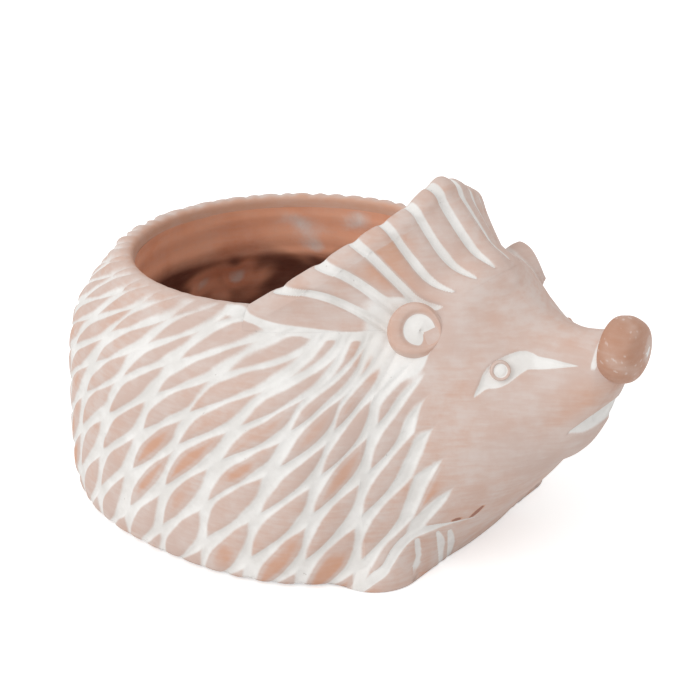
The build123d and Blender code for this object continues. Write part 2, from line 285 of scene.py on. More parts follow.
def wall_gap(p):
    """Distance outside the pot wall, measured level from the oval's centre: r less the radius at which
    |cos/reach|^power + |sin/half width|^power is 1. The foot is rounded under."""
    z = p[..., 2]
    dx = p[..., 0] - through(z, WALL_Z, WALL_CENTRE)
    y = p[..., 1]
    r = np.hypot(dx, y) + 1e-9
    ahead = dx > 0
    reach = np.where(ahead, through(z, WALL_Z, WALL_FRONT), through(z, WALL_Z, WALL_REAR))
    power = np.where(ahead, through(z, WALL_Z, WALL_FRONT_POWER), through(z, WALL_Z, WALL_REAR_POWER))
    half = through(z, WALL_Z, WALL_HALF)
    full = (np.abs(dx / r / reach) ** power + np.abs(y / r / half) ** power) ** (-1.0 / power)
    under = np.clip(1.0 - z / FOOT_ROUND, 0.0, 1.0)
    return r - full + FOOT_ROUND * (1.0 - np.sqrt(1.0 - under * under))


def head_gap(p):
    """Distance outside the head, measured in the upright section from its widest height: the section is
    the curve |y/half|^power + |rise/reach|^power = 1, drawn up over the crown and full in the cheeks."""
    x, y, z = p[..., 0], p[..., 1], p[..., 2]
    widest = through(x, HEAD_X, HEAD_WIDEST)
    above = z > widest
    power = np.where(above, CROWN_POWER, CHEEK_POWER)
    reach = np.where(above, through(x, HEAD_X, HEAD_TOP) - widest, widest - through(x, HEAD_X, HEAD_BOTTOM))
    across = np.abs(y / through(x, HEAD_X, HEAD_HALF)) ** power
    share = (across + np.abs((z - widest) / reach) ** power) ** (1.0 / power) + 1e-9
    gap = (np.hypot(y, z - widest) + 1e-9) * (1.0 - 1.0 / share)
    return gap + np.maximum(x - HEAD_X[-1], 0.0) + np.maximum(FACE_X - 6.0 - x, 0.0)


def fan_edge(turn):
    """Height of the fan's edge: the rim, plus a rise that falls away as a power of the angle, a little
    hollow on each side of the peak."""
    hollow = 1.4 * np.exp(-((np.abs(turn) - 17.0) / 9.0) ** 2)
    return RIM_Z + FAN_RISE * np.maximum(0.0, 1.0 - (np.abs(turn) / FAN_END) ** 1.3) - hollow


def fan_lip(turn):
    """Thickness of the rim: the full lip behind, and a little thinner up on the fan."""
    return LIP - 2.0 * smooth(1.6 - 1.6 * np.abs(turn) / FAN_END)


def fan_gap(p):
    """Distance outside the fan: its slope runs straight from the outer edge to a foot that reaches
    furthest in the middle, and it ends a little below its seat and at its two ends."""
    turn = turn_of(p)
    z = p[..., 2]
    side = fan_edge(turn) - FAN_ROUND
    outer = OPENING_R + fan_lip(turn)
    foot = OPENING_R + LIP + (FAN_FOOT_R - OPENING_R - LIP) * np.clip(1.0 - turn / FAN_END, 0.0, 1.0) ** 2.6
    fall = np.clip((side - z) / np.maximum(side - SEAT_Z, 1.0), 0.0, 1.2)
    slope = 0.75 * (np.hypot(p[..., 0] - AXIS_X, p[..., 1]) - outer - (foot - outer) * fall)
    below = 0.8 * (seat_height(p[..., 0]) - 4.0 - z)
    return np.maximum(slope, below) + 1.2 * np.maximum(turn - FAN_END, 0.0)


def paw_gap(p):
    """Distance outside the two front paws, each a bar with round ends across the front."""
    past = np.maximum(np.abs(np.abs(p[..., 1]) - PAW[1]) - 0.5 * PAW_SPAN, 0.0)
    return np.sqrt((p[..., 0] - PAW[0]) ** 2 + past ** 2 + (p[..., 2] - PAW[2]) ** 2) - PAW_R


def clay_gap(p):
    """Distance outside the whole outer form, with the joints between its parts smoothed over. The form is
    kept a little inside the paws, which are laid over it."""
    body = soft_union(wall_gap(p), head_gap(p), HEAD_JOINT)
    body = soft_union(body, paw_gap(p) + PAW_COVER, PAW_JOINT)
    return soft_union(body, fan_gap(p), FAN_JOINT)


def on_clay(origin, direction, inside, outside):
    """Where each ray from inside leaves the outer form, found by halving the stretch that holds it."""
    low = np.broadcast_to(np.asarray(inside, float), direction.shape[:-1])
    high = np.broadcast_to(np.asarray(outside, float), direction.shape[:-1])
    for _ in range(26):
        middle = 0.5 * (low + high)
        within = clay_gap(origin + direction * middle[..., None]) < 0.0
        low = np.where(within, middle, low)
        high = np.where(within, high, middle)
    return origin + direction * low[..., None]


def clay_normals(p):
    """Outward directions of the outer form: the slope of its gap along each axis."""
    steps = 0.4 * np.eye(3)
    slope = np.stack([clay_gap(p + s) - clay_gap(p - s) for s in steps], -1)
    return slope / (np.linalg.norm(slope, axis=-1, keepdims=True) + 1e-9)


def face_border(z):
    """Angle at which the smooth face ends and the quills begin, at each height."""
    return 14.5 + 0.07 * z


def quill_lean(turn, z):
    """Degrees that a quill at this place has moved forward since the foot: less beside the face, and more
    where the quills are combed flat towards the ear."""
    steady = FACE_LEAN + (1.0 - FACE_LEAN) * smooth((turn - 20.0) / 40.0)
    combed = COMBED_LEAN * smooth((z - 70.0) / 22.0) * np.exp(-((turn - COMBED_TURN) / 18.0) ** 2)
    return steady * through(z, SWEEP_Z, SWEEP) + combed


def on_paw(p):
    """1 on the part of the body that belongs to a front paw, below the line over its top, and 0 beyond."""
    turn = turn_of(p)
    below = smooth((through(turn, PAW_TURN, PAW_TOP) - p[..., 2]) / 2.0 + 0.5)
    return below * smooth((39.5 - turn) / 1.5)


def paw_lines(p):
    """Share of slip in the line over each paw and in the lines between its toes: strokes on the body as it
    would be rolled out flat, by angle and height."""
    flat = np.stack([DEGREE_ARC * turn_of(p), 0 * p[..., 2], p[..., 2]], -1)
    best = -99.0
    lines = [(PAW_TURN, PAW_TOP, PAW_LINE_HALF)] + [(*toe, TOE_HALF) for toe in TOES]
    for turns, heights, half_widths in lines:
        line = [(DEGREE_ARC * turn, 0.0, z) for turn, z in zip(turns, heights)]
        best = np.maximum(best, stroke(flat, line, half_widths))
    return smooth(best + 0.5 + 0.2 * waver(p, 5.0)) * smooth((p[..., 0] - 30.0) / 5.0)


def quill_carving(p):
    """Depth and slip of the quill pattern. Quills lean forward as they rise, in columns of equal lean plus
    height. Each is a leaf, widest in its middle and pointed at both ends, and every second column is moved
    on by half a leaf. What is left between the leaves is carved out and filled with slip, and some leaves
    are rubbed bare in patches. Beside the face the leaves run together into long strips and the slip
    between them comes to points. On the rim behind, the slip is thinner."""
    z = p[..., 2]
    turn = turn_of(p)
    radius = np.hypot(p[..., 0] - AXIS_X, p[..., 1])
    steep = np.radians(quill_lean(turn, z + 1.0) - quill_lean(turn, z - 1.0)) * radius / 2.0
    pitch = np.radians(QUILL_PITCH) * radius / np.hypot(1.0, steep)
    steps = np.linspace(0.0, SWEEP_Z[-1], 105)
    slant = np.hypot(1.0, np.radians(np.gradient(through(steps, SWEEP_Z, SWEEP), steps)) * BELLY_R)
    border = face_border(z)
    u = (turn + quill_lean(turn, z)) / QUILL_PITCH + FIRST_COLUMN + 0.13 * waver(p, 23.0)
    v = np.interp(z, steps, np.cumsum(slant)) / QUILL_LENGTH + FIRST_LEAF - 0.16 * (turn - 90.0) / 90.0
    strip = 1.0 - smooth((turn - border - 3.0) / 16.0)
    inside = np.full(turn.shape, -9.0)
    rubbed = np.zeros(turn.shape)
    for k in range(-1, 3):
        line = np.floor(u) + k
        row = v + 0.5 * line + 0.12 * (chance(line, 2.0) - 0.5)
        ahead = row - np.floor(row) - 0.5
        leaf = np.floor(row) * 7.0 + line
        size = QUILL_WIDE * (0.88 + 0.24 * chance(leaf, 3.0))
        half = size * (1.0 - np.abs(LEAF_TAPER * ahead) ** LEAF_POWER) * (1.0 - strip) + STRIP_HALF * strip
        off = u - line + 0.16 * (chance(leaf, 4.0) - 0.5) * (1.0 - strip)
        here = (half - np.abs(off)) * pitch
        rubbed = np.where(here > inside, chance(leaf, 5.0), rubbed)
        inside = np.maximum(inside, here)
    face = 1.0 - smooth((turn - border - waver(p, 9.0)) / 10.5)
    inside = inside + 7.0 * face + 8.0 * on_paw(p)
    edge = inside + 0.35 * waver(p, 7.0)
    depth = QUILL_CUT * (1.0 - smooth((inside + 1.0) / 1.8)) + QUILL_CROWN * (1.0 - smooth(inside / 3.2))
    depth = depth * (0.5 + 0.5 * smooth(z / 9.0))
    patch = smooth((0.6 * waver(p, 14.0) + 1.3 * rubbed - 0.45) / 0.9)
    patch = patch * (0.45 + 0.55 * smooth((78.0 - z) / 36.0)) * (1.0 - on_paw(p))
    patch = patch * smooth((turn - border - 2.0) / 9.0)
    slip = 1.0 - smooth((edge + 1.0) / (2.8 + 1.2 * strip)) - 0.85 * patch * smooth((inside - 0.6) / 2.8)
    plain = 0.5 * smooth((z - 88.0) / 10.0) * smooth((turn - 68.0) / 14.0) * np.clip(slip, 0.0, 1.0)
    return depth, np.where(turn > border - 2.0, slip - plain, 0.0)


def fan_foot(p):
    """Height of the fan's foot: its seat, a little lower behind the ears, and up to the rim at its ends."""
    turn = turn_of(p)
    past = np.maximum(turn - FOOT_TURN[-1], 0.0)
    return seat_height(p[..., 0]) + through(turn, FOOT_TURN, FOOT_LIFT) + past


def foot_band(p):
    """Share of slip in the band along the fan's foot, from the ear to the rim."""
    turn = turn_of(p)
    away = np.abs(p[..., 2] - fan_foot(p) + 0.3 * waver(p, 9.0))
    return (1.0 - smooth((away - 0.6) / 1.5)) * smooth((turn - 31.0) / 6.0) * smooth((75.0 - turn) / 6.0)


def fan_carving(p):
    """Depth and slip of the fan's flutes: round lobes between grooves. The grooves draw together towards
    the brow, so the angle is measured where each line would meet the edge, and they end there in points."""
    z = p[..., 2]
    turn = turn_of(p)
    edge = fan_edge(turn)
    fall = np.clip((edge - z) / np.maximum(edge - seat_height(p[..., 0]) + 4.0, 6.0), 0.0, 1.5)
    spread = 1.0 - DRAWN_IN * np.minimum(fall, 1.0)
    at_edge = turn / spread + 0.8 * waver(p, 30.0)
    k = through(at_edge, FLUTE_TURN, FLUTE_COUNT)
    pace = through(at_edge + 1.0, FLUTE_TURN, FLUTE_COUNT) - through(at_edge - 1.0, FLUTE_TURN, FLUTE_COUNT)
    off = np.abs(k - np.round(k)) / np.maximum(0.5 * pace, 0.05)
    gap = off * np.radians(spread) * np.hypot(p[..., 0] - AXIS_X, p[..., 1])
    kept = smooth((FAN_END + 4.0 - turn) / 4.0) * smooth((z - fan_foot(p) + 1.0) / 3.0)
    end = 0.78 + 0.45 * smooth((at_edge - 27.0) / 12.0)
    taper = np.sqrt(np.clip((end - fall) / 0.36, 0.0, 1.0))
    wide = (GROOVE_HALF + 0.4 * smooth((at_edge - 30.0) / 15.0) + 0.25 * waver(p, 17.0)) * taper
    groove = 1.0 - smooth((gap - 0.2 * wide) / (1.2 * wide + 0.05))
    lobe = (1.0 - smooth(gap / 4.4)) * smooth((end + 0.1 - fall) / 0.4)
    depth = kept * (GROOVE_CUT * groove + LOBE_CUT * lobe)
    slip = kept * (1.0 - smooth((gap - wide + 0.5) / 1.1)) * smooth(wide / 0.6)
    return depth, slip


def stroke(p, points, half_widths):
    """How far inside a tool stroke each place is, in mm: the stroke's half width less the distance from the
    curve through its points. The right side's stroke is mirrored."""
    q = mirrored(p)
    knots = np.arange(len(points), dtype=float)
    fine = np.linspace(0.0, knots[-1], 3 * len(points) - 2)
    line = np.stack([through(fine, knots, values) for values in np.transpose(points)], -1)
    widths = through(fine, knots, half_widths)
    best = np.full(p.shape[:-1], -99.0)
    for a, b, wide, next_wide in zip(line[:-1], line[1:], widths[:-1], widths[1:]):
        t = np.clip(((q - a) @ (b - a)) / ((b - a) @ (b - a)), 0.0, 1.0)
        gap = np.linalg.norm(q - a - t[..., None] * (b - a), axis=-1)
        best = np.maximum(best, wide + (next_wide - wide) * t - gap)
    return best


def face_carving(p):
    """Depth and slip of the face: the almond round each eye with its two tails, the mouth, the slip left
    round the back of the ears, behind the nose and over the paws, the clay rubbed bare by the mouth and
    nose, and two chips low on the right of the chest."""
    x, y, z = p[..., 0], p[..., 1], p[..., 2]
    q = mirrored(p)
    almond = stroke(p, EYE_LINE, EYE_HALF) + 0.25 * waver(p, 5.0)
    across = (z - MOUTH[1]) * math.cos(MOUTH_SLOPE) - (x - MOUTH[0]) * math.sin(MOUTH_SLOPE)
    corner = smooth((x - MOUTH_END) / 6.0)
    mouth = (1.0 - smooth((across - 0.1) / 0.8)) * smooth((across + 0.4 + MOUTH_WIDE * corner) / 1.4)
    mouth = mouth * smooth((x - MOUTH_END) / 1.5)
    from_ear = q - np.array(EAR)
    reach = np.linalg.norm(from_ear, axis=-1)
    behind = (from_ear @ EAR_BACK) / (reach + 1e-6)
    wide = HALO_WIDE * smooth((behind + 0.35) / 1.2)
    halo = 1.0 - smooth((reach - EAR_R + 0.4 - wide - 1.4 * waver(p, 8.0)) / (1.6 + 1.5 * wide))
    halo = halo * smooth((behind + 0.65) / 0.6)
    crevice = 1.0 - smooth(np.abs(x - NOSE[0] + 0.6) - 0.5)
    crevice = crevice * smooth((z - 82.0) / 4.0)
    paw = paw_lines(p)
    depth = EYE_CUT * smooth((almond + 0.4) / 1.4) + MOUTH_CUT * mouth + PAW_LINE_CUT * paw
    slip = smooth(almond + 0.5)
    for mark in (mouth, halo, crevice, paw):
        slip = np.maximum(slip, mark)
    lip = smooth((x - 84.0) / 24.0) * smooth((across - 0.2) / 6.0) * smooth((88.0 - z) / 14.0)
    from_nose = np.linalg.norm(q - np.array(NOSE) + np.array([3.0, 0.0, 5.0]), axis=-1)
    by_nose = smooth((14.0 - from_nose) / 9.0) * smooth((91.0 - z) / 8.0)
    nick = np.maximum(stroke(p, NICK, NICK_HALF), stroke(p, SECOND_NICK, SECOND_NICK_HALF))
    chip = smooth((nick + 0.3) / 0.6) * (y < 0.0)
    bare = np.maximum(np.maximum(0.6 * lip, 0.9 * by_nose), 2.0 * chip)
    return depth, slip - bare * (1.0 - slip)


def carve(p):
    """Points moved in along the form's own normals by the deepest carving at each, and the slip there: the
    quills below the fan's foot, the rubbed fan above it, and every mark laid over them."""
    quill, quill_slip = quill_carving(p)
    flute, flute_slip = fan_carving(p)
    face, face_slip = face_carving(p)
    turn = turn_of(p)
    on_fan = smooth((p[..., 2] - fan_foot(p) + 1.5) / 3.0)
    depth = np.maximum(quill * (1.0 - on_fan), flute)
    depth = np.maximum(depth, face) + hand_finish(p)
    rubbed = 0.9 * on_fan * smooth((waver(p, 19.0) + 0.1) / 0.7) * smooth((turn - 8.0) / 25.0)
    slip = quill_slip * (1.0 - on_fan) - rubbed
    for mark in (flute_slip, foot_band(p), np.maximum(face_slip, 0.0)):
        slip = slip + mark * (1.0 - slip)
    slip = slip + np.minimum(face_slip, 0.0)
    return p - clay_normals(p) * depth[..., None], slip


def grid_faces(rows, columns, wrap=False, flip=False):
    """Corner numbers of the quads between neighbouring rows and columns of a grid of points."""
    i, j = np.mgrid[0:rows - 1, 0:columns if wrap else columns - 1]
    k = (j + 1) % columns
    quads = np.stack([i * columns + j, i * columns + k, (i + 1) * columns + k, (i + 1) * columns + j], -1)
    quads = quads.reshape(-1, 4)
    return quads[:, ::-1] if flip else quads


def make_piece(name, grids, material, slot, *nodes):
    """One mesh in metres from a list of (points, quads, slip). Points that meet are merged, so the grids
    join along the edges that they share and close at their poles."""
    points = np.concatenate([g[0].reshape(-1, 3) for g in grids]) * MM
    slip = np.concatenate([np.broadcast_to(g[2], g[0].shape[:-1]).reshape(-1) for g in grids])
    starts = np.cumsum([0] + [g[0].size // 3 for g in grids])
    quads = np.concatenate([g[1] + s for g, s in zip(grids, starts)])
    mesh = bpy.data.meshes.new(name)
    mesh.from_pydata(points, [], quads)
    mesh.attributes.new("slip", "FLOAT", "POINT").data.foreach_set("value", slip.astype(np.float32))
    work = bmesh.new()
    work.from_mesh(mesh)
    bmesh.ops.remove_doubles(work, verts=work.verts, dist=2e-6)
    work.to_mesh(mesh)
    work.free()
    mesh.shade_smooth()
    mesh.materials.append(material)
    piece = bpy.data.objects.new(name, mesh)
    bpy.context.scene.collection.objects.link(piece)
    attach(piece, "root")
    if nodes:
        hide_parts(*nodes)


def over_lip(outer, side, top, count):
    """Rows over the lip from its outer side to the opening's wall: shares of the lip's thickness and of
    its height, through the same points all the way round."""
    t = np.linspace(0.0, 1.0, count)[1:, None]
    knots = [0.0, 0.28, 0.52, 0.70, 0.86, 1.0]
    across = through(t, knots, [1.0, 0.83, 0.55, 0.29, 0.07, 0.0])
    rise = through(t, knots, [0.0, 0.58, 0.92, 1.0, 0.77, 0.17])
    return OPENING_R + (outer - OPENING_R) * across, side + (top - side) * rise, t


def lip_normals(away, t):
    """Outward directions over the lip: from nearly level at its outer side to straight up at its inner."""
    out = away * (1.0 - t)[..., None] + UP * (0.4 + 0.8 * t)[..., None]
    return out / np.linalg.norm(out, axis=-1, keepdims=True)


def wall_grids():
    """Outside of the pot behind the face plane: rays level from each oval's centre, spread evenly round
    the back from one edge of the face plane to the other, then over the lip. The lip sinks out of sight
    under the fan, and the underside runs level to the floor slab."""
    z = np.linspace(0.0, SEAT_Z, WALL_ROWS)
    centre = np.stack([through(z, WALL_Z, WALL_CENTRE), 0 * z, z], -1)
    start = np.stack([np.full(z.shape, FACE_X), 0 * z, z], -1)
    edge = on_clay(start, np.broadcast_to(LEFT, start.shape), 5.0, 100.0)
    first = np.arctan2(edge[:, 1], edge[:, 0] - centre[:, 0])
    s = np.linspace(0.0, 1.0, WALL_COLUMNS)
    angle = first[:, None] + s[None] * (2.0 * np.pi - 2.0 * first[:, None])
    ray = np.stack([np.cos(angle), np.sin(angle), 0 * angle], -1)
    base = on_clay(centre[:, None], ray, 20.0, 140.0)
    skin, slip = carve(base)
    skin[0, :, 2] = 0.0

    hub = np.array([AXIS_X, 0.0, 0.0])
    brim = base[-1] - hub
    brim_r = np.hypot(brim[:, 0], brim[:, 1])
    away = brim / brim_r[:, None] * (1.0 - UP)
    lip_r, lip_z, t = over_lip(brim_r, SEAT_Z, RIM_Z, LIP_ROWS)
    lip = hub + away * lip_r[..., None] + UP * lip_z[..., None]
    hidden = smooth((FAN_END - turn_of(lip)) / 3.0)
    depth, lip_slip = quill_carving(lip)
    lip_slip = lip_slip + foot_band(lip) * (1.0 - lip_slip)
    fade = smooth((0.95 - t) / 0.5)
    sink = 1.3 * depth * fade + hand_finish(lip) + 3.2 * hidden
    lip = lip - lip_normals(away, t) * sink[..., None]
    lip = lip + (1.5 * away - UP) * (hidden * t)[..., None]
    skin = np.concatenate([skin, lip])
    rubbed = 0.9 * smooth((t - 0.55) / 0.4)
    wall = (skin, grid_faces(*skin.shape[:2]), np.concatenate([slip, lip_slip * fade - rubbed]))

    under = np.linspace(0.0, 1.0, SOLE_ROWS)[:, None, None]
    ring = skin[0] - hub
    inner = ring * (SLAB_R / np.linalg.norm(ring, axis=-1, keepdims=True))
    inner[:, 0] = np.minimum(inner[:, 0], FACE_X - AXIS_X)
    sole = ring + (inner - ring) * under + hub
    sole[..., 2] = 0.0
    return [wall, (sole, grid_faces(SOLE_ROWS, WALL_COLUMNS, flip=True), 0.25)]


def hollow_grids():
    """Inside of the pot: a turned wall with throwing ridges, from the neck to the floor slab, coloured
    darker low down as painted shade, with slip smudged on it here and there."""
    neck = np.linspace(NECK_TOP, NECK_FOOT, 40)
    shoulder = np.linspace(72.0, 70.0, 8)
    belly = np.linspace(69.0, HOLLOW_FLOOR, 44)
    z = np.concatenate([neck, shoulder, belly])[:, None]
    turn = np.radians(np.linspace(0.0, 360.0, HOLLOW_COLUMNS + 1)[:-1])
    r = through(z, HOLLOW_Z, HOLLOW_R)
    place = round_axis(r, turn, z)
    ridge = 0.16 * np.sin(z * 0.62 + 0.9 * np.sin(turn * 2.0) + 0.8 * waver(place, 30.0))
    r = r + ridge * smooth((93.0 - z) / 4.0) + 0.35 * waver(place, 26.0)
    # Painted shade: the colour is darkened below the neck towards the floor.
    slip = -1.0 * smooth((83.0 - z) / 16.0)
    for side, level, wide in SMUDGES:
        away = 66.0 * apart(turn, np.radians(side)) / wide
        smudge = np.exp(-away ** 2 - ((z - level) / (0.8 * wide)) ** 2)
        slip = slip + smudge * np.clip(0.8 + 0.4 * waver(place, 5.0), 0.0, 1.0) * (0.62 - slip)
    return [(round_axis(r, turn, z), grid_faces(*r.shape, wrap=True), slip)]


def fan_grids():
    """Quill fan: radial rays from the seat up to the outer edge, over the edge as over the lip, and the
    inner wall straight down to the neck. Its first row is tucked in under the clay below the seat."""
    degrees = np.linspace(-FAN_END, FAN_END, FAN_COLUMNS)
    turn = np.radians(degrees)
    away = np.stack([np.cos(turn), np.sin(turn), 0 * turn], -1)
    low = np.full(turn.shape, SEAT_Z)
    high = np.full(turn.shape, ROOT_Z + 8.0)
    for _ in range(22):
        middle = 0.5 * (low + high)
        above = middle > seat_height(on_clay(round_axis(0.0, turn, middle), away, 20.0, 150.0)[:, 0])
        high = np.where(above, middle, high)
        low = np.where(above, low, middle)
    edge = fan_edge(degrees)
    side = edge - FAN_ROUND - (RIM_Z - SEAT_Z - FAN_ROUND) * smooth((np.abs(degrees) - 48.0) / 18.0)
    side = np.maximum(side, high + 0.02)
    z = high + (side - high) * np.linspace(0.0, 1.0, FAN_ROWS)[:, None]
    start = round_axis(0.0, turn, z)
    base = on_clay(start, np.broadcast_to(away, start.shape), 20.0, 150.0)
    slope, slip = carve(base)
    tuck, tuck_slip = carve(on_clay(round_axis(0.0, turn, high - 2.5), away, 20.0, 150.0))
    slope = np.concatenate([(tuck - 1.8 * away)[None], slope])
    slip = np.concatenate([tuck_slip[None], slip])

    outer = np.hypot(base[-1, :, 0] - AXIS_X, base[-1, :, 1])
    over_r, over_z, t = over_lip(outer, side, edge, EDGE_ROWS)
    over = round_axis(over_r, turn, over_z)
    notch, notch_slip = fan_carving(over)
    notch_slip = np.maximum(notch_slip, foot_band(over))
    fade = smooth((1.0 - t) / 0.4)
    sink = notch * fade + hand_finish(over)
    over = over - lip_normals(away, t) * sink[..., None]

    down = np.linspace(0.0, 1.0, NECK_ROWS)[1:, None]
    wall_z = over[-1, :, 2] + (NECK_TOP - 0.1 - over[-1, :, 2]) * down
    wall = round_axis(OPENING_R, turn, wall_z)
    wall = wall + 0.3 * waver(wall, 22.0)[..., None] * away
    rubbed = 0.9 * smooth((116.0 - wall_z) / 20.0)
    wall_slip = 0.25 * smooth(waver(wall, 15.0)) - rubbed
    skin = np.concatenate([slope, over, wall])
    return [(skin, grid_faces(*skin.shape[:2]), np.concatenate([slip, notch_slip * fade, wall_slip]))]


def head_grids():
    """Head and chest ahead of the face plane: rays outwards from the widest height of each upright
    section, from one edge of the fan's seat round the throat to the other. Past the seat the section is
    closed over the brow. The snout's end leans forward under the nose."""
    snout_x = 72.0
    brow = np.linspace(FACE_X, snout_x, BROW_ROWS)
    x = np.concatenate([brow, np.linspace(snout_x, HEAD_X[-1], SNOUT_ROWS)[1:]])
    widest = through(x, HEAD_X, HEAD_WIDEST)
    centre = np.stack([x, 0 * x, widest], -1)
    seat = np.stack([x, 0 * x, seat_height(x)], -1)
    under_fan = clay_gap(seat) < 0.0
    edge = on_clay(seat, np.broadcast_to(LEFT, seat.shape), 0.0, 90.0)
    first = np.where(under_fan, np.arctan2(edge[:, 1], edge[:, 2] - widest), 0.0)
    s = np.linspace(0.0, 1.0, HEAD_COLUMNS)
    angle = first[:, None] + s[None] * (2.0 * np.pi - 2.0 * first[:, None])
    ray = np.stack([0 * angle, np.sin(angle), np.cos(angle)], -1)
    base = on_clay(centre[:, None], ray, 2.0, 140.0)
    skin, slip = carve(base)
    skin[..., 2] = np.maximum(skin[..., 2], 0.0)
    tip = np.linspace(0.0, 1.0, TIP_ROWS)[1:, None, None]
    nose = np.array(NOSE) + np.array([4.0, 0.0, 0.0])
    cap = skin[-1] + (nose - skin[-1]) * tip
    cap[..., 0] = skin[-1, :, 0] + 10.0 * tip[..., 0] ** 0.9
    depth, cap_slip = face_carving(cap)
    cap[..., 0] -= depth
    points = np.concatenate([skin, cap])
    return [(points, grid_faces(*points.shape[:2], flip=True), np.concatenate([slip, cap_slip]))]


def turned(point, axis, radius, height):
    """Surface turned about an axis through a point: radius and height are grids over profile and angle."""
    z = np.array(axis) / np.linalg.norm(axis)
    x = np.cross(z, [0.0, 0.0, 1.0])
    x = x / np.linalg.norm(x)
    y = np.cross(z, x)
    angle = np.linspace(0.0, 2.0 * np.pi, radius.shape[1] + 1)[:-1]
    flat = radius[..., None] * (np.cos(angle)[:, None] * x + np.sin(angle)[:, None] * y)
    return np.array(point) + flat + height[..., None] * z


def on_side(skin, side):
    """A left-side piece as it is, or mirrored for the right."""
    return skin * np.array([1.0, side, 1.0])


def ear_grids(side):
    """Ear: a rolled ring that sinks into the head, round a dished middle with slip in it, the ring worn low
    on the side towards the face. The right ear's ring is rubbed and the left one's is pale."""
    left = side > 0
    s = np.linspace(0.0, 1.0, EAR_ROWS)[:, None]
    angle = np.linspace(0.0, 2.0 * np.pi, EAR_COLUMNS + 1)[None, :-1]
    knots = [0.0, 0.22, 0.36, 0.48, 0.60, 0.72, 0.84, 1.0]
    r = through(s, knots, [EAR_R, EAR_R, EAR_R - 0.6, 8.4, 6.9, 5.3, 3.2, 0.0])
    h = through(s, knots, [-6.0, 0.6, 2.3, 3.1, 3.0, 1.7, 1.2, 1.2])
    worn = smooth(1.0 - apart(angle, 0.75) / 0.85)
    front = smooth(1.0 - apart(angle, 0.35) / 1.7)
    h = h * (LEFT_EAR_TALL if left else 1.0) - 2.2 * front * smooth((h - 0.2) / 2.4)
    r = r * (1.0 + 0.015 * np.sin(3.0 * angle + 0.6))
    seat = np.array(EAR) + np.array(LEFT_EAR_LIFT) * left
    skin = turned(seat, EAR_AXIS, r, h)
    skin = skin + 1.4 * smooth((s - 0.42) / 0.2)[..., None] * np.array(EAR_FRONT)
    dish = smooth((s - 0.68 - 0.20 * worn) / 0.05)
    foot = 0.5 * (1.0 - smooth((h + 0.5) / 2.0)) * (1.0 - worn)
    rubbed = (-0.05 if left else 0.45) * (1.0 - dish)
    slip = np.maximum(dish, foot) - rubbed
    return [(on_side(skin, side), grid_faces(EAR_ROWS, EAR_COLUMNS, wrap=True, flip=not left), slip)]


def eye_grids(side):
    """Eye: a small clay ring round a low bead, sunk in its almond."""
    left = side > 0
    shape = (EYE_ROWS, EYE_COLUMNS)
    s = np.linspace(0.0, 1.0, EYE_ROWS)[:, None]
    knots = [0.0, 0.25, 0.42, 0.56, 0.68, 0.8, 1.0]
    r = through(s, knots, [3.5, 3.5, 3.15, 2.7, 2.2, 1.3, 0.0])
    h = through(s, knots, [-3.0, 0.0, 0.8, 0.65, 0.15, 0.45, 0.6])
    h = h - (LEFT_EYE_SUNK if left else RIGHT_EYE_SUNK)
    skin = turned(EYE, EYE_AXIS, np.broadcast_to(r, shape), np.broadcast_to(h, shape))
    slip = smooth((s - 0.60) / 0.08) - 0.3 * (1.0 - smooth((s - 0.55) / 0.08))
    return [(on_side(skin, side), grid_faces(*shape, wrap=True, flip=not left), slip)]


def nose_grids():
    """Nose: a blunt dome on the end of the snout, dented a little by the fingers that pressed it on, with
    a painted highlight of slip white down the front of its left half, and crumbs of slip all over."""
    s = np.linspace(0.0, 1.0, NOSE_ROWS)[:, None]
    angle = np.linspace(0.0, 2.0 * np.pi, NOSE_COLUMNS + 1)[None, :-1]
    knots = [0.0, 0.12, 0.3, 0.5, 0.7, 0.86, 1.0]
    r = NOSE_R * through(s, knots, [0.30, 0.80, 1.0, 0.96, 0.78, 0.45, 0.0])
    h = NOSE_DEPTH * through(s, knots, [-0.10, -0.02, 0.30, 0.62, 0.86, 0.96, 1.0])
    r = r * (1.0 + 0.012 * np.sin(2.0 * angle + 0.5) * np.sin(np.pi * s))
    skin = turned(NOSE, (1.0, 0.0, 0.0), r, np.broadcast_to(h, r.shape))
    ahead, aside, above = np.moveaxis(skin - np.array(NOSE), -1, 0)
    # Painted highlight: slip white laid on the front of the left half, where a shine would show.
    streak = np.exp(-((aside - 3.2) / 1.5) ** 2 - ((above + 0.3) / 4.4) ** 2)
    streak = streak * smooth((ahead - 6.0) / 3.0) * np.clip(0.8 + 0.5 * waver(skin, 1.6), 0.0, 1.2)
    crumb = smooth((waver(skin, 0.9) - 0.78) / 0.2) * smooth((waver(skin, 6.0) + 0.5) / 0.6)
    slip = -0.75 + 0.5 * waver(skin, 5.0) + 1.25 * np.maximum(streak, 0.75 * crumb)
    return [(skin, grid_faces(NOSE_ROWS, NOSE_COLUMNS, wrap=True), slip)]


